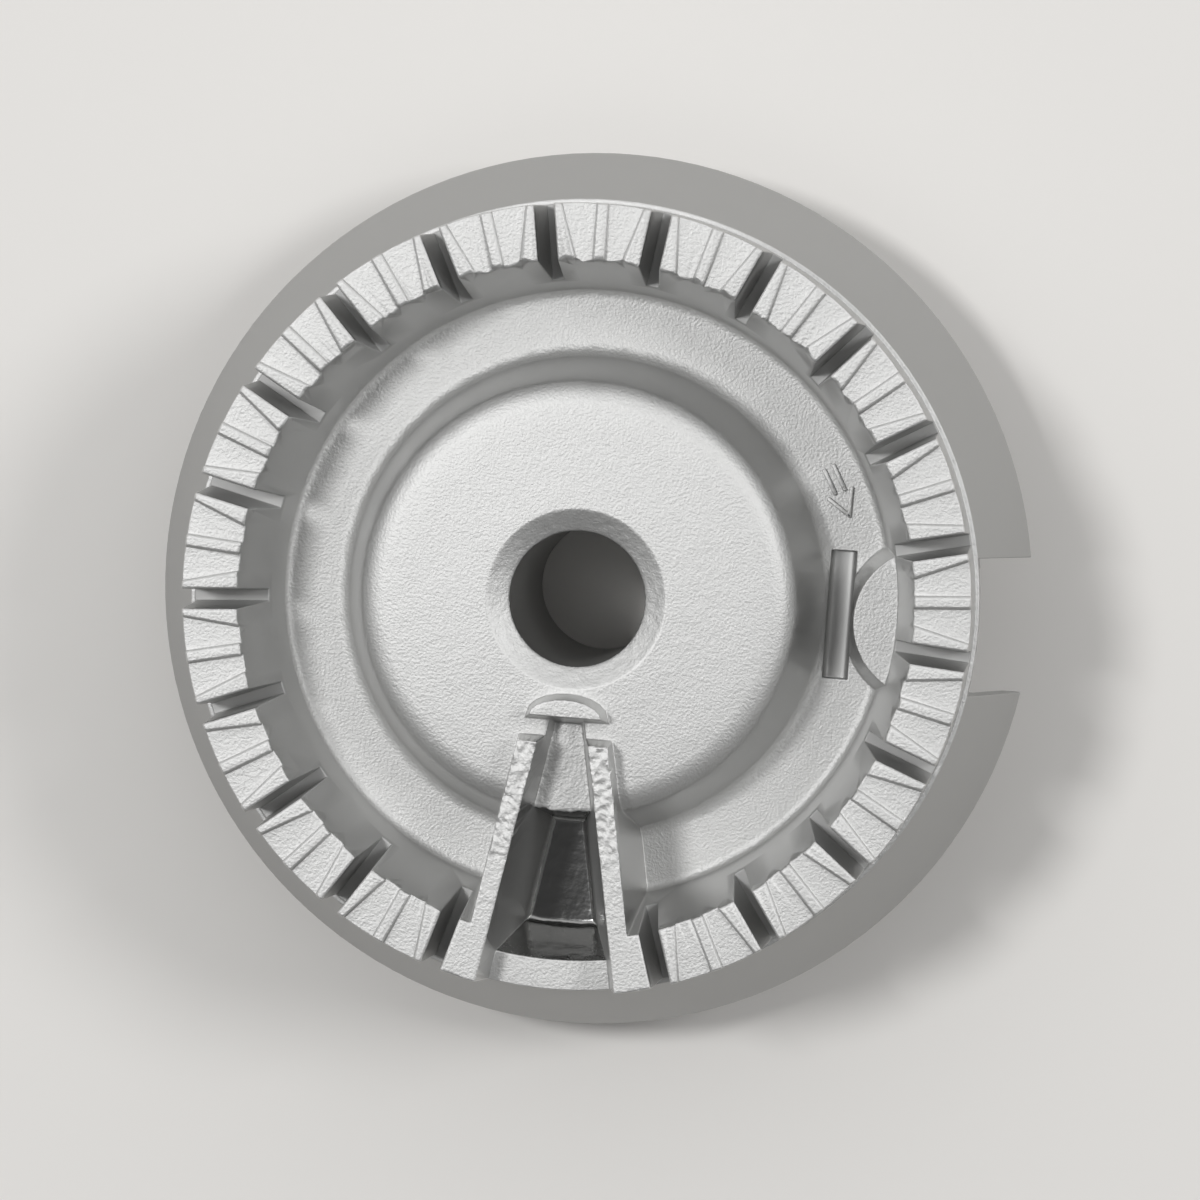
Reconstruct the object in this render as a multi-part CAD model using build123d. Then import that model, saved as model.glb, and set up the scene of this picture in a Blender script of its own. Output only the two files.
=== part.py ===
from build123d import *
import os
from math import cos, pi, radians, sin, tan

# Gas burner head: one aluminium casting with a central inlet tube, a domed gas plenum,
# a crown of flame ports, a lighting chamber and a pocket for the spark electrode.
# Millimetres and degrees. The origin is the centre of the inlet tube's lower end, +Z is up,
# +X points at the electrode notch and -Y at the lighting chamber.

# Casting
WALL = 2.2                 # general thickness of floor, dome, skirt and tube
EDGE_BREAK = 0.6           # chamfer of the skirt's lower edge
CORE_BREAK = 1.2           # chamfer in the corners of the hollows underneath
ROUND_STEPS = 3            # flats that make up a rounding: few, so that the rings stay light
ROUND_SHARE = 0.4          # largest share of a wall that one rounding may take
PAST = 1.0                 # how far a cutter reaches beyond the face it cuts

# Inlet tube
BORE_RADIUS = 6.7
TUBE_DROP = 11.0           # tube end below the skirt's edge
TUBE_ROOT = 0.5            # its root chamfer starts this far below the lighting channel's underside
BELL_FLARE = 2.2           # widening of the bore at the dome
BELL_DEPTH = 1.4
BELL_ROUND = 0.3           # length that a rounding takes from the walls beside it, here and below

# Crown of ports
CROWN_RADIUS = 38.9        # outside, at the rib tops that carry the cap
CROWN_WIDTH = 5.5          # radial width at the top
CROWN_HEIGHT = 8.8         # from the ledge to the rib tops
CROWN_DRAFT = 1.0          # lean of the outer wall
PLENUM_DRAFT = 12.6        # lean of the inner wall
LEDGE_WIDTH = 0.45
PORT_PITCHES = 21          # one pitch is taken by the lighting chamber
SLOT_WIDTH = 1.95          # at the rib tops
SLOT_DRAFT = 2.5
SLOT_SILL = 0.3            # slot floor above the ledge
LAND_DEPTH = 0.5           # lands below the rib tops
SLOT_RIB_INNER = 1.85      # tapered rib beside a slot, at the crown's inner edge
SLOT_RIB_OUTER = 0.65      # and at its outer edge
MIDDLE_RIB = 1.2

# Skirt
SKIRT_HEIGHT = 13.2        # from its edge to the ledge
SKIRT_FLARE = 5.3          # edge beyond the ledge

# Plenum and dome
PLENUM_DEPTH = 13.0        # floor below the rib tops
FLOOR_WIDTH = 6.3          # flat ring between dome and crown
FLOOR_ROUND = 0.8
DOME_DROP = 2.5            # dome top below the rib tops
DOME_FALL = 0.4            # fall of the dome top towards its shoulder
DOME_DRAFT = 17.0
DOME_ROUND = 2.0
DOME_FOOT_ROUND = 1.2

# Lighting chamber
CHAMBER_ANGLE = 20.4       # between its side walls at the top
CHAMBER_DRAFT = 10.0       # lean of its inside
CHAMBER_WALL = 1.9         # side wall at the top
CHAMBER_WALL_DRAFT = 5.0   # lean of its outside
CHANNEL_DEPTH = 2.5        # inlet channel below the dome top
BASIN_SETBACK = 3.0        # back of the basin inside the dome's foot
SILL_DEPTH = 4.5           # outlet sill below the rib tops
SILL_WIDTH = 2.9
FRONT_DRAFT = 17.0         # lean of the basin's front wall
HOOD_GAP = 0.9             # hood behind the bell's rim
HOOD_DEPTH = 1.7
HOOD_WIDTH = 7.1
HOOD_DRAFT = 10.0          # lean of the hood and of the walls' ends beside it
HOOD_FLATS = 10            # flats that make up its bow
INLET_GAP = 2.6            # side opening between hood and chamber walls

# Electrode pocket
POCKET_INSET = 4.3         # pocket axis inside the crown's outer radius
POCKET_RADIUS = 5.6
POCKET_WALL = 1.9
POCKET_DRAFT = 17.0        # lean of the boss around the pocket
NOTCH_WIDTH = 13.7
RECESS_LENGTH = 12.9       # locating recess at the dome's foot
RECESS_WIDTH = 2.6
RECESS_DEPTH = 1.2
RECESS_ROUND = 0.9

# Heights
skirt_z = TUBE_DROP
ledge_z = skirt_z + SKIRT_HEIGHT
top_z = ledge_z + CROWN_HEIGHT
slot_z = ledge_z + SLOT_SILL
floor_z = top_z - PLENUM_DEPTH
dome_z = top_z - DOME_DROP
shoulder_z = dome_z - DOME_FALL
channel_z = dome_z - CHANNEL_DEPTH
sill_z = top_z - SILL_DEPTH
under_floor_z = floor_z - WALL
under_dome_z = shoulder_z - WALL
under_crown_z = ledge_z - WALL


def lean(height, draft):
    """Sideways run of a drafted face over a height."""
    return height * tan(radians(draft))


def limited(rounding, *spans):
    """A rounding no larger than the walls beside it can take."""
    return min([rounding] + [ROUND_SHARE * abs(span) for span in spans])


# Radii
tube_r = BORE_RADIUS + WALL
bell_r = BORE_RADIUS + BELL_FLARE
crown_inner_r = CROWN_RADIUS - CROWN_WIDTH
crown_foot_r = CROWN_RADIUS + lean(CROWN_HEIGHT, CROWN_DRAFT)
ledge_r = crown_foot_r + LEDGE_WIDTH
skirt_r = ledge_r + SKIRT_FLARE
plenum_r = crown_inner_r - lean(PLENUM_DEPTH, PLENUM_DRAFT)
dome_foot_r = plenum_r - FLOOR_WIDTH
dome_shoulder_r = dome_foot_r - lean(shoulder_z - floor_z, DOME_DRAFT)
under_skirt_r = ledge_r + SKIRT_FLARE * WALL / SKIRT_HEIGHT - WALL
under_plenum_r = plenum_r + WALL
under_dome_r = dome_shoulder_r - WALL
hood_front_r = bell_r + HOOD_GAP + HOOD_DEPTH
channel_back_r = hood_front_r - HOOD_DEPTH / 3
wall_end_r = hood_front_r + INLET_GAP
basin_back_r = dome_foot_r - BASIN_SETBACK
sill_r = CROWN_RADIUS - SILL_WIDTH
pocket_x = CROWN_RADIUS - POCKET_INSET

pitch = 360 / PORT_PITCHES
chamber_heading = 270
slot_headings = [chamber_heading + k * pitch for k in range(1, PORT_PITCHES)]
tooth_headings = [heading + pitch / 2 for heading in slot_headings[:-1]]


def eased(before, corner, after, length, steps):
    """Points that take a corner off in flats along a curve: one flat makes a chamfer."""
    corner = Vector(corner)
    start = corner + (Vector(before) - corner).normalized() * length
    end = corner + (Vector(after) - corner).normalized() * length
    shares = [step / steps for step in range(steps + 1)]
    return [start * (1 - t) ** 2 + corner * 2 * t * (1 - t) + end * t ** 2 for t in shares]


def turned(corners):
    """Solid of revolution about Z. A corner is (radius, height), or with a length and steps to ease it."""
    points = [corner[:2] for corner in corners]
    outline = []
    for index, corner in enumerate(corners):
        if len(corner) == 2:
            outline.append(corner)
        else:
            outline += eased(points[index - 1], corner[:2], points[(index + 1) % len(points)], *corner[2:])
    return revolve(Plane.XZ * make_face(Polyline(*outline, close=True)), Axis.Z)


def casting():
    """The round body: tube, dome, plenum, crown and skirt as one shell."""
    bell = limited(BELL_ROUND, BELL_DEPTH), ROUND_STEPS
    shoulder = limited(DOME_ROUND, shoulder_z - floor_z, dome_shoulder_r - bell_r), ROUND_STEPS
    foot = limited(DOME_FOOT_ROUND, shoulder_z - floor_z, FLOOR_WIDTH), ROUND_STEPS
    floor = limited(FLOOR_ROUND, PLENUM_DEPTH, FLOOR_WIDTH), ROUND_STEPS
    lip = limited(EDGE_BREAK, WALL), 1
    ring = limited(CORE_BREAK, under_crown_z - under_floor_z, under_skirt_r - under_plenum_r), 1
    hollow = limited(CORE_BREAK, under_dome_z - under_floor_z, under_dome_r - tube_r), 1
    below_channel = under_dome_z - (channel_z - WALL) + TUBE_ROOT
    root = limited(max(CORE_BREAK, below_channel), under_dome_z, under_dome_r - tube_r), 1
    return turned([
        (BORE_RADIUS, 0),
        (BORE_RADIUS, dome_z - BELL_DEPTH, *bell),
        (bell_r, dome_z),
        (dome_shoulder_r, shoulder_z, *shoulder),
        (dome_foot_r, floor_z, *foot),
        (plenum_r, floor_z, *floor),
        (crown_inner_r, top_z),
        (CROWN_RADIUS, top_z),
        (crown_foot_r, ledge_z),
        (ledge_r, ledge_z),
        (skirt_r, skirt_z, *lip),
        (skirt_r - WALL, skirt_z),
        (under_skirt_r, under_crown_z, *ring),
        (under_plenum_r, under_crown_z, *ring),
        (under_plenum_r, under_floor_z),
        (dome_foot_r - WALL, under_floor_z, *hollow),
        (under_dome_r, under_dome_z, *hollow),
        (tube_r, under_dome_z, *root),
        (tube_r, 0),
    ])


def outer_form():
    """The outside of skirt and crown, filled: it trims what is cast onto the shell."""
    return turned([
        (0, skirt_z),
        (skirt_r, skirt_z),
        (ledge_r, ledge_z),
        (crown_foot_r, ledge_z),
        (CROWN_RADIUS, top_z),
        (0, top_z),
    ])


def chamber_wedge(side, draft, upper, lower):
    """Wedge about -Y whose sides stand off the chamber's radial faces, measured at the rib tops."""
    half_angle = radians(CHAMBER_ANGLE / 2)
    stand_off = (side + lean(upper - top_z, draft)) / cos(half_angle)
    near = tube_r / 2
    far = skirt_r + upper - lower
    near_half = near * tan(half_angle) + stand_off
    far_half = far * tan(half_angle) + stand_off
    plan = Polygon((-near_half, -near), (-far_half, -far), (far_half, -far), (near_half, -near), align=None)
    return extrude(Pos(0, 0, upper) * plan, amount=lower - upper, taper=draft)


def chamber_walls():
    """Material of the lighting chamber: two side walls with a floor under channel and basin."""
    profile = turned([
        (tube_r - WALL / 2, channel_z - WALL),
        (tube_r - WALL / 2, top_z),
        (skirt_r, top_z),
        (skirt_r, under_floor_z),
        (basin_back_r - WALL, under_floor_z),
        (basin_back_r - WALL, channel_z - WALL),
    ])
    walls = profile & chamber_wedge(CHAMBER_WALL, -CHAMBER_WALL_DRAFT, top_z, under_floor_z) & outer_form()
    low, high = shoulder_z - WALL / 2, top_z + PAST
    clearing = Polygon(
        (0, low),
        (0, high),
        (-wall_end_r - lean(high - top_z, HOOD_DRAFT), high),
        (-wall_end_r - lean(low - top_z, HOOD_DRAFT), low),
        align=None,
    )
    return walls - extrude(Plane.YZ * clearing, amount=skirt_r, both=True)


def chamber_space():
    """Hollow of the lighting chamber: inlet channel, basin, and outlet over the sill."""
    profile = turned([
        (channel_back_r, top_z + PAST),
        (channel_back_r, channel_z),
        (basin_back_r, channel_z),
        (basin_back_r + lean(channel_z - floor_z, CHAMBER_DRAFT), floor_z),
        (sill_r - lean(sill_z - floor_z, FRONT_DRAFT), floor_z),
        (sill_r, sill_z),
        (skirt_r, sill_z),
        (skirt_r, top_z + PAST),
    ])
    return profile & chamber_wedge(0, CHAMBER_DRAFT, top_z + PAST, floor_z - PAST)


def hood():
    """Baffle behind the bell, bowed towards the bore. Its front ends the chamber's channel."""
    turns = [pi * flat / HOOD_FLATS for flat in range(HOOD_FLATS + 1)]
    bow = Polygon(*[(HOOD_WIDTH / 2 * cos(turn), HOOD_DEPTH * sin(turn)) for turn in turns], align=None)
    plan = Pos(0, -hood_front_r, top_z) * bow
    block = extrude(plan, amount=channel_z - WALL / 2 - top_z, taper=-HOOD_DRAFT)
    low = shoulder_z - WALL / 2
    above_dome = extrude(Pos(0, 0, low) * Circle(skirt_r), amount=top_z + PAST - low)
    end_of_channel = chamber_wedge(CHAMBER_WALL / 2, 0, top_z + PAST, channel_z - WALL)
    return block & (above_dome + end_of_channel)


def slots():
    """The deep flame ports, drafted, from the plenum out over the ledge."""
    half_top = SLOT_WIDTH / 2 + lean(PAST, SLOT_DRAFT)
    half_floor = SLOT_WIDTH / 2 - lean(top_z - slot_z, SLOT_DRAFT)
    section = Polygon(
        (-half_floor, slot_z),
        (half_floor, slot_z),
        (half_top, top_z + PAST),
        (-half_top, top_z + PAST),
        align=None,
    )
    start = Plane(origin=(plenum_r, 0, 0), x_dir=(0, 1, 0), z_dir=(1, 0, 0))
    slot = extrude(start * section, amount=ledge_r + PAST - plenum_r)
    return [Rot(0, 0, heading) * slot for heading in slot_headings]


def lands():
    """Shallow secondary ports: the crown's top sunk everywhere but at its ribs."""
    inner = crown_inner_r - PAST
    outer = CROWN_RADIUS + PAST
    taper = (SLOT_RIB_INNER - SLOT_RIB_OUTER) / CROWN_WIDTH
    inner_half = SLOT_WIDTH / 2 + SLOT_RIB_INNER + taper * PAST
    outer_half = SLOT_WIDTH / 2 + SLOT_RIB_OUTER - taper * PAST
    beside_slot = Polygon(
        (inner - PAST, inner_half),
        (inner - PAST, -inner_half),
        (outer + PAST, -outer_half),
        (outer + PAST, outer_half),
        align=None,
    )
    middle = Pos((inner + outer) / 2, 0) * Rectangle(outer - inner + 2 * PAST, MIDDLE_RIB)
    reach = outer / cos(radians(pitch)) + PAST
    chamber_side = Rot(0, 0, chamber_heading) * Polygon(
        (0, 0),
        (reach, -reach * tan(radians(pitch))),
        (reach, reach * tan(radians(pitch))),
        align=None,
    )
    plan = Circle(outer) - Circle(inner) - chamber_side
    plan -= [Rot(0, 0, heading) * beside_slot for heading in slot_headings]
    plan -= [Rot(0, 0, heading) * middle for heading in tooth_headings]
    return extrude(Pos(0, 0, top_z - LAND_DEPTH) * plan, amount=LAND_DEPTH + PAST)


def pocket_boss():
    """Half-round boss in the plenum that roofs the electrode's pocket."""
    height = ledge_z - under_floor_z
    top_radius = POCKET_RADIUS + POCKET_WALL
    cone = Cone(top_radius + lean(height, POCKET_DRAFT), top_radius, height)
    return Pos(pocket_x, 0, under_floor_z + height / 2) * cone & outer_form()


def pocket_space():
    """Pocket under the boss, its throat, and the notch that lets the electrode in through the skirt."""
    depth = under_crown_z
    pocket = Pos(pocket_x, 0, depth / 2) * Cylinder(POCKET_RADIUS, depth)
    reach = skirt_r + PAST - pocket_x
    throat = Pos(pocket_x + reach / 2, 0, depth / 2) * Box(reach, 2 * POCKET_RADIUS, depth)
    notch_height = ledge_z + PAST
    notch = Pos(pocket_x + reach / 2, 0, notch_height / 2) * Box(reach, NOTCH_WIDTH, notch_height)
    notch -= Pos(0, 0, notch_height / 2) * Cylinder(ledge_r, notch_height)
    return [pocket, throat, notch]


def recess():
    """Locating recess at the dome's foot: round-cornered bottom, open upwards past the boss."""
    top = max(ledge_z, floor_z + DOME_FOOT_ROUND) + PAST
    bottom = floor_z - RECESS_DEPTH
    inner, outer = dome_foot_r, dome_foot_r + RECESS_WIDTH
    rounding = limited(RECESS_ROUND, RECESS_WIDTH, top - bottom), ROUND_STEPS
    section = Polygon(
        (inner, top),
        *eased((inner, top), (inner, bottom), (outer, bottom), *rounding),
        *eased((inner, bottom), (outer, bottom), (outer, top), *rounding),
        (outer, top),
        align=None,
    )
    return extrude(Plane.XZ * section, amount=RECESS_LENGTH / 2, both=True)


def burner_head():
    """The whole casting."""
    head = casting() + chamber_walls() + pocket_boss()
    head -= chamber_space()
    head += hood()
    head -= slots()
    head -= lands()
    head -= pocket_space()
    head -= recess()
    return head


os.makedirs("parts", exist_ok=True)
export_step(burner_head(), "parts/burner_head.step")
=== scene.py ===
"""Gas burner head: one shot-blasted aluminium die casting, seen from above on a pale floor."""
from math import atan2, cos, degrees, exp, hypot, radians, sin, tan

import bmesh
import bpy
from mathutils import Matrix, Vector, noise


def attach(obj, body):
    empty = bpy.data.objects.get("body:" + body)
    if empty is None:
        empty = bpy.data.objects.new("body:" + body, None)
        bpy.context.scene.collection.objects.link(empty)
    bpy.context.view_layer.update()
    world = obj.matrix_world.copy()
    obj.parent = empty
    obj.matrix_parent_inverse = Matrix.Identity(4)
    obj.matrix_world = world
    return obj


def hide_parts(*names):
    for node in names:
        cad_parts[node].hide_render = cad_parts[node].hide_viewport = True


MM = 0.001

# Heights, radii and distances from the axis of the casting, in mm
RIB_TOP = 33.0
DOME_TOP = 30.5
CHANNEL_FLOOR = 28.0
LEDGE = 24.2
RING_FLOOR = 20.0
BELL = 8.9
BASIN_BACK = 21.2
CROWN_INNER = 33.4
SILL = 36.0
SKIRT_START = 39.2
CHAMBER_SLOPE = tan(radians(10.2))     # of the lighting chamber's side walls in plan
PORT_PITCH = 360 / 21      # in degrees
PORT_HALF = 1.2

# Zones of the casting, each from and to, in mm
TOOTH_ENDS = (32.3, 34.6)  # radii
PORTS = (30.8, 39.6)       # radii
WALL_TOPS = (13, 33)       # distances along the chamber
CHANNEL_START = 11.5
RECESS_FOOT = ((23.4, 27.2), (-7.4, 7.4), (20.02, 23.5))     # a box in x, y and z
WORN_HEADING = 92          # of the most ragged tooth ends, in degrees

# Welding of the CAD's triangles, in mm, and the turns that make a flat and an edge
WELD = 0.002
FLAT = radians(1.0)
SHARP = radians(33)

# Eased edges, in mm
EASING = 0.14
RIB_EASING = 0.25
BASIN_EASING = 0.6
FIRST_CUT = 0.37           # share of a gap before the first cut, off a region's own corners

# Surface of the casting, in mm
GRIT = 0.27                # size and depth of the grain left by the shot
GRIT_DEPTH = 0.075
SWELL = 2.4                # size and depth of the casting's slow waves
SWELL_DEPTH = 0.05

# Marks on the casting: how open to the shot, how polished by the die (below 0 is dull), and how much painted
# shade darkens it
OPEN_MARKS = (1.0, 0.0, 0.0)
# Ports: dull, and darkened by painted shade in the deep slots
PORT_MARKS = (0.0, -2.5, 0.2)
# Low faces (the skirt below the ledge, the recess and the underside): dull, and darkened by painted shade
LOW_MARKS = (0.0, -1.5, 0.55)

# Arrow on the ring floor: strokes between two points, each a heading and a radius
ARROW = (
    ((31.9, 28.0), (26.65, 28.0)),
    ((31.9, 26.96), (26.65, 26.96)),
    ((26.25, 28.7), (21.2, 27.55)),
    ((25.85, 26.2), (21.2, 27.55)),
)
STROKE_WIDTH = 0.42
STROKE_HEIGHT = 0.7        # half of it is sunk in the floor
STROKE_EASING = 0.12

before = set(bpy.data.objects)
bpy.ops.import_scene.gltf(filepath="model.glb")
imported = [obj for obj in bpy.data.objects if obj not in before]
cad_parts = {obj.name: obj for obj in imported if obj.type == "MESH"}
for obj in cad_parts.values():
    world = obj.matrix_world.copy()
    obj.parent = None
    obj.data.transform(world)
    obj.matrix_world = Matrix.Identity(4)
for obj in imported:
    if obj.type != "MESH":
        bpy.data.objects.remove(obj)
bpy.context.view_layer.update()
scene = bpy.context.scene


def linear(hex_colour):
    """A linear RGBA colour from its sRGB hex value."""
    shares = [int(hex_colour[i:i + 2], 16) / 255 for i in (1, 3, 5)]
    return [s / 12.92 if s <= 0.04045 else ((s + 0.055) / 1.055) ** 2.4 for s in shares] + [1.0]


def add(owner, kind, links=None, **settings):
    """Adds a node to a material or world: settings are its properties, links feed or set its inputs."""
    node = owner.node_tree.nodes.new(kind)
    for name, value in settings.items():
        setattr(node, name, value)
    for name, value in (links or {}).items():
        socket = node.inputs[name]
        if isinstance(value, bpy.types.NodeSocket):
            owner.node_tree.links.new(value, socket)
        else:
            socket.default_value = value
    return node


def new_material(name):
    """A material with no nodes yet."""
    material = bpy.data.materials.new(name)
    material.use_nodes = True
    material.node_tree.nodes.clear()
    return material


def blasted_aluminium():
    # Die-cast aluminium, shot-blasted from above: faces that the shot reached are pale, matt and grainy;
    # drafted walls keep the darker satin skin of the die, ports are dull, the basin is glossy.
    # Painted shade darkens the skin further in the ports, on the low faces and on the basin floor.
    material = new_material("shot_blasted_aluminium")
    place = add(material, "ShaderNodeTexCoord").outputs["Object"]
    exposed = add(material, "ShaderNodeAttribute", attribute_name="exposed").outputs["Fac"]
    polish = add(material, "ShaderNodeAttribute", attribute_name="polish").outputs["Fac"]
    painted_shade = add(material, "ShaderNodeAttribute", attribute_name="painted_shade").outputs["Fac"]
    normal = add(material, "ShaderNodeNewGeometry").outputs["Normal"]
    slope = add(material, "ShaderNodeSeparateXYZ", {"Vector": normal}).outputs["Z"]
    grit = add(material, "ShaderNodeTexNoise",
               {"Vector": place, "Scale": 1 / (GRIT * MM), "Detail": 3.0}).outputs["Fac"]
    swell = add(material, "ShaderNodeTexNoise",
                {"Vector": place, "Scale": 1 / (SWELL * MM), "Detail": 3.0}).outputs["Fac"]
    # The shot reaches faces that look up, with a ragged border.
    ragged = add(material, "ShaderNodeMath", {0: grit, 1: 0.4, 2: slope}, operation="MULTIPLY_ADD").outputs[0]
    hit = add(material, "ShaderNodeMapRange", {"Value": ragged, "From Min": 0.45, "From Max": 0.8},
              interpolation_type="SMOOTHSTEP").outputs["Result"]
    blast = add(material, "ShaderNodeMath", {0: hit, 1: exposed}, operation="MULTIPLY").outputs[0]
    # The skin darkens towards #A3A3A2 with painted shade: in the ports, on the skirt, recess and underside,
    # and on the basin floor.
    skin = add(material, "ShaderNodeMix", {"Factor": painted_shade, "A": linear("#C2C2C1"), "B": linear("#A3A3A2")},
               data_type="RGBA").outputs["Result"]
    colour = add(material, "ShaderNodeMix", {"Factor": blast, "A": skin, "B": linear("#D0D0CF")},
                 data_type="RGBA").outputs["Result"]
    skin_rough = add(material, "ShaderNodeMapRange", {"Value": polish, "To Min": 0.34, "To Max": 0.2},
                     clamp=False).outputs["Result"]
    rough = add(material, "ShaderNodeMapRange",
                {"Value": blast, "To Min": skin_rough, "To Max": 0.61}).outputs["Result"]
    grain = add(material, "ShaderNodeMapRange",
                {"Value": blast, "To Min": 0.04, "To Max": 1.0}).outputs["Result"]
    glaze = add(material, "ShaderNodeMath", {0: polish, 1: 2.5}, operation="MULTIPLY").outputs[0]
    waves = add(material, "ShaderNodeMath", {0: grain, 1: glaze}, operation="MAXIMUM").outputs[0]
    low = add(material, "ShaderNodeBump",
              {"Height": swell, "Strength": waves, "Distance": SWELL_DEPTH * MM}).outputs["Normal"]
    bump = add(material, "ShaderNodeBump", {"Height": grit, "Normal": low, "Strength": grain,
                                            "Distance": GRIT_DEPTH * MM}).outputs["Normal"]
    shader = add(material, "ShaderNodeBsdfPrincipled",
                 {"Base Color": colour, "Metallic": 1.0, "Roughness": rough, "Normal": bump})
    add(material, "ShaderNodeOutputMaterial", {"Surface": shader.outputs["BSDF"]})
    return material


def matt_paper():
    # Pale matt paper: an even floor that keeps the head's soft shadow.
    material = new_material("matt_paper")
    shader = add(material, "ShaderNodeBsdfPrincipled", {"Base Color": linear("#DCDAD7"), "Roughness": 0.8})
    add(material, "ShaderNodeOutputMaterial", {"Surface": shader.outputs["BSDF"]})
    return material


def rise(low, high, value):
    """Smooth rise from 0 at low to 1 at high."""
    share = min(max((value - low) / (high - low), 0.0), 1.0)
    return share * share * (3 - 2 * share)


def measures(point):
    """Radius and height of a point, its distance along the chamber, and beside the chamber's inner face."""
    x, y, z = point / MM
    return hypot(x, y), z, -y, abs(x) + y * CHAMBER_SLOPE


def within(value, zone):
    """Whether a value lies between the two limits of a zone."""
    low, high = zone
    return low < value < high


def at_tooth_ends(r, z, along, beside):
    """The upper inner ends of the crown's teeth."""
    return within(r, TOOTH_ENDS) and z > RIB_TOP - 1.3


def at_wall_tops(r, z, along, beside):
    """The tops of the chamber's side walls."""
    return within(along, WALL_TOPS) and -0.3 < beside < 2.3 and z > RIB_TOP - 0.5


def at_channel(r, z, along, beside):
    """The floor of the chamber's inlet channel."""
    return CHANNEL_START < along < BASIN_BACK + 0.6 and beside < -0.1 and abs(z - CHANNEL_FLOOR) < 0.6


def at_bell(r, z, along, beside):
    """The flare at the top of the bore."""
    return r < BELL - 0.05 and z > DOME_TOP - 1.2


def cut(shape, region, gap, axes):
    """Cuts the faces of a region along planes across the axes, so that they can take finer form."""
    faces = [face for face in shape.faces
             if face.normal.z > -0.2 and region(*measures(face.calc_center_median()))]
    edges = list(dict.fromkeys(edge for face in faces for edge in face.edges))
    verts = list(dict.fromkeys(vert for face in faces for vert in face.verts))
    geom = faces + edges + verts
    for axis in axes:
        normal = Vector([float(axis == name) for name in "xyz"])
        places = [vert.co.dot(normal) for vert in geom if isinstance(vert, bmesh.types.BMVert)]
        here = min(places) + FIRST_CUT * gap * MM
        while here < max(places):
            geom = bmesh.ops.bisect_plane(shape, geom=geom, dist=1e-8, plane_co=normal * here,
                                          plane_no=normal)["geom"]
            here += gap * MM


def roughen(shape):
    """Moves vertices: pitted wall tops, ragged tooth ends, an uneven channel and bell."""
    # Each move is a depth times noise of a size, both in mm.
    for vert in shape.verts:
        where = measures(vert.co)
        r, z, along, beside = where
        place = vert.co / MM
        outward = Vector((place.x, place.y, 0)).normalized()
        move = Vector()
        if at_wall_tops(*where):
            pitted = (0.2 + 0.8 * rise(28, 23, along)) * rise(RIB_TOP - EASING, RIB_TOP - 0.02, z)
            move.z += 0.2 * pitted * (noise.noise(place / 0.45) + 0.4 * noise.noise(place / 0.2))
            move.x += 0.14 * pitted * noise.noise(place / 0.9)
        elif at_tooth_ends(*where):
            worn = 0.3 + 0.7 * rise(75, 30, abs(degrees(atan2(place.y, place.x)) - WORN_HEADING))
            near = exp(-((r - CROWN_INNER) / 0.6) ** 2) * rise(RIB_TOP - 1.3, RIB_TOP - 0.6, z)
            move += outward * 0.4 * worn * near * (noise.noise(place / 1.7) + 0.45 * noise.noise(place / 0.6))
        if at_channel(*where):
            move.z += 0.07 * noise.noise(place / 0.45)
            move.y += 0.3 * rise(BASIN_BACK - 0.8, BASIN_BACK, along) * noise.noise(place / 0.7)
        if at_bell(*where):
            move += vert.normal * 0.06 * rise(BELL, BELL - 0.5, r) * noise.noise(place / 0.7)
        vert.co += move * MM


def finish_marks(vert):
    """How far a vertex lay open to the shot, how polished the die left it, and how much painted shade darkens
    it.
    """
    r, z, along, beside = measures(vert.co)
    heading = degrees(atan2(vert.co.y, vert.co.x)) + 90
    turn = (heading + PORT_PITCH / 2) % PORT_PITCH - PORT_PITCH / 2
    in_basin = along > BASIN_BACK - 0.3 and beside < 0.6 and z < RIB_TOP - 0.4 and r < SILL + 0.1
    in_port = (beside > 0 and within(r, PORTS) and LEDGE + 0.1 < z < RIB_TOP - 1.0
               and abs(r * sin(radians(turn))) < PORT_HALF)
    low_down = z < RING_FLOOR - 0.2 or r > SKIRT_START and z < LEDGE - 0.1
    if in_basin:
        polish = 1 - 2.5 * rise(0.5, 0.8, abs(vert.normal.x))      # glossy, but for its side walls
        # Painted shade darkens the glossy basin floor; its side walls take none.
        return rise(CHANNEL_FLOOR - 0.8, CHANNEL_FLOOR, z), polish, max(polish, 0.0)
    if in_port:
        return PORT_MARKS
    return LOW_MARKS if low_down else OPEN_MARKS


def on_dome(edge):
    """Edges between the flats of the dome's slightly coned top and its shoulder."""
    return all(DOME_TOP - 2.2 < vert.co.z / MM < DOME_TOP + 0.1 for vert in edge.verts) and all(
        face.normal.z > 0.8 for face in edge.link_faces)


def is_basin_foot(edge):
    """Edges where the basin's floor meets its walls."""
    inside = all(along > BASIN_BACK - 2.5 and beside < 0.2 and r < SILL + 0.3 and abs(z - RING_FLOOR) < 0.05
                 for r, z, along, beside in (measures(vert.co) for vert in edge.verts))
    return inside and not edge.is_convex and edge.calc_face_angle() > SHARP


def is_rib_top(edge):
    """Edges round the tops of the crown's ribs."""
    outlying = all(r > CROWN_INNER - 0.2 and abs(z - RIB_TOP) < 0.01 and beside > 2.5
                   for r, z, along, beside in (measures(vert.co) for vert in edge.verts))
    return outlying and edge.calc_face_angle() > SHARP


def is_edge(edge):
    """All other sharp edges, but for the short ones where the recess cuts the dome's foot."""
    foot = any(all(within(value / MM, zone) for value, zone in zip(vert.co, RECESS_FOOT))
               for vert in edge.verts)
    return edge.calc_face_angle() > SHARP and not foot


def ease(shape, edges, width, steps):
    """Rounds edges off."""
    bmesh.ops.bevel(shape, geom=edges, offset=width * MM, offset_type="OFFSET", affect="EDGES",
                    segments=steps, profile=0.5, material=-1, clamp_overlap=False)


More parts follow.
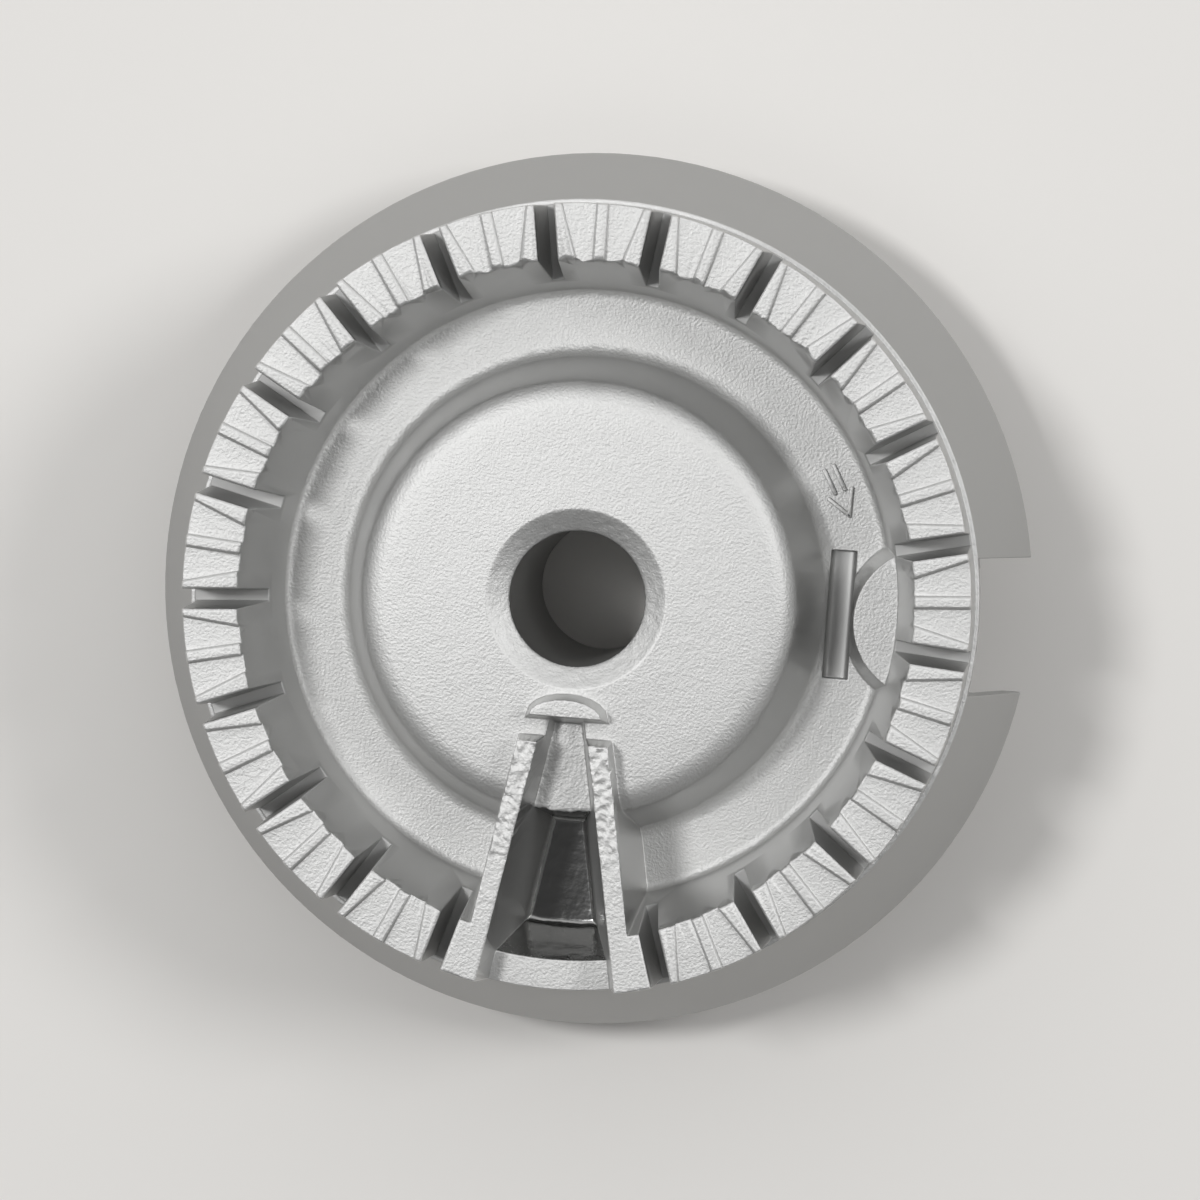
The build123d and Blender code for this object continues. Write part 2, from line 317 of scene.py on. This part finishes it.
def stroke(shape, start, end):
    """A low raised line on the ring floor between two points."""
    ends = [Vector((r * cos(radians(turn)), r * sin(radians(turn)), RING_FLOOR)) * MM
            for turn, r in (start, end)]
    middle, run = (ends[0] + ends[1]) / 2, ends[1] - ends[0]
    size = Matrix.Diagonal((run.length + 0.4 * MM, STROKE_WIDTH * MM, STROKE_HEIGHT * MM, 1.0))
    turn = Matrix.Rotation(atan2(run.y, run.x), 4, "Z")
    made = bmesh.ops.create_cube(shape, size=1.0, matrix=Matrix.Translation(middle) @ turn @ size)["verts"]
    ease(shape, list(dict.fromkeys(edge for vert in made for edge in vert.link_edges)), STROKE_EASING, 2)


def cast_head(cad):
    """The casting: the CAD surface with its edges eased, its cast unevenness and the arrow on its floor."""
    shape = bmesh.new()
    shape.from_mesh(cad.data)
    bmesh.ops.remove_doubles(shape, verts=shape.verts, dist=WELD * MM)
    flat = [edge for edge in shape.edges if not on_dome(edge)]
    bmesh.ops.dissolve_limit(shape, angle_limit=FLAT, verts=shape.verts, edges=flat)
    for chosen, width, steps in (
            (is_basin_foot, BASIN_EASING, 4), (is_rib_top, RIB_EASING, 3), (is_edge, EASING, 2)):
        ease(shape, [edge for edge in shape.edges if chosen(edge)], width, steps)
        shape.normal_update()
    for region, gap, axes in ((at_tooth_ends, 0.4, "xyz"), (at_channel, 0.4, "xy"),
                              (at_wall_tops, 0.22, "xy"), (at_bell, 0.5, "xyz")):
        cut(shape, region, gap, axes)
    bmesh.ops.triangulate(shape, faces=shape.faces)
    shape.normal_update()
    roughen(shape)
    for start, end in ARROW:
        stroke(shape, start, end)
    bmesh.ops.triangulate(shape, faces=shape.faces)
    for face in shape.faces:
        face.smooth = True
    shape.normal_update()
    # Each vertex's marks: open to the shot, polish, and painted shade.
    marks = [finish_marks(vert) for vert in shape.verts]
    mesh = bpy.data.meshes.new("burner_head_casting")
    shape.to_mesh(mesh)
    shape.free()
    for name, values in zip(("exposed", "polish", "painted_shade"), zip(*marks)):
        mesh.attributes.new(name, "FLOAT", "POINT").data.foreach_set("value", values)
    casting = bpy.data.objects.new("burner_head_casting", mesh)
    scene.collection.objects.link(casting)
    casting.modifiers.new("even_shading", "WEIGHTED_NORMAL")
    return casting


head = cast_head(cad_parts["burner_head"])
head.data.materials.append(blasted_aluminium())
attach(head, "root")
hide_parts("burner_head")

# Floor
floor_mesh = bpy.data.meshes.new("floor")
ground = bmesh.new()
bmesh.ops.create_grid(ground, x_segments=1, y_segments=1, size=3.0)
ground.to_mesh(floor_mesh)
ground.free()
floor = bpy.data.objects.new("floor", floor_mesh)
scene.collection.objects.link(floor)
floor_mesh.materials.append(matt_paper())

# Light: surroundings that are bright behind the head and dim in front of it and overhead, and two softboxes
world = bpy.data.worlds.new("studio")
scene.world = world
world.use_nodes = True
world.node_tree.nodes.clear()
split = add(world, "ShaderNodeSeparateXYZ", {"Vector": add(world, "ShaderNodeTexCoord").outputs["Generated"]})
behind = add(world, "ShaderNodeMapRange", {"Value": split.outputs["Y"], "From Min": -0.7, "From Max": 1.0,
                                           "To Min": 0.1, "To Max": 1.09})
below = add(world, "ShaderNodeMapRange", {"Value": split.outputs["Z"], "From Min": 0.76, "From Max": 0.97,
                                          "To Min": 1.0, "To Max": 0.2}, interpolation_type="SMOOTHSTEP")
ramp = add(world, "ShaderNodeMath", {0: behind.outputs["Result"], 1: below.outputs["Result"]},
           operation="MULTIPLY")
sky = add(world, "ShaderNodeBackground", {"Color": linear("#FFFFFF"), "Strength": ramp.outputs[0]})
add(world, "ShaderNodeOutputWorld", {"Surface": sky.outputs["Background"]})


def softbox(name, heading, height, distance, size, energy):
    """A round softbox that looks at the origin from a heading and a height, both in degrees."""
    lamp = bpy.data.lights.new(name, "AREA")
    lamp.shape = "DISK"
    lamp.size = size
    lamp.energy = energy
    box = bpy.data.objects.new(name, lamp)
    scene.collection.objects.link(box)
    turn, lift = radians(heading), radians(height)
    stand = Vector((cos(turn) * cos(lift), sin(turn) * cos(lift), sin(lift))) * distance
    box.matrix_world = Matrix.Translation(stand) @ stand.to_track_quat("Z", "Y").to_matrix().to_4x4()


softbox("softbox_left", heading=160, height=66, distance=0.9, size=0.16, energy=3.45)
softbox("softbox_right", heading=20, height=48, distance=0.9, size=0.25, energy=2.55)

# Camera: place, aim and lens fitted to the photo, in mm
view = bpy.data.cameras.new("camera")
view.sensor_width = 36.0
view.lens = 147.29
camera = bpy.data.objects.new("camera", view)
scene.collection.objects.link(camera)
eye = Vector((48.326, 28.296, 510.289)) * MM
aim = Vector((-0.520, -1.646, 0.0)) * MM
back = (eye - aim).normalized()
right = Vector((-0.08017, 0.99549, -0.05074)).cross(back).normalized()
camera.matrix_world = Matrix.Translation(eye) @ Matrix((right, back.cross(right), back)).transposed().to_4x4()
scene.camera = camera
scene.view_settings.view_transform = "Standard"
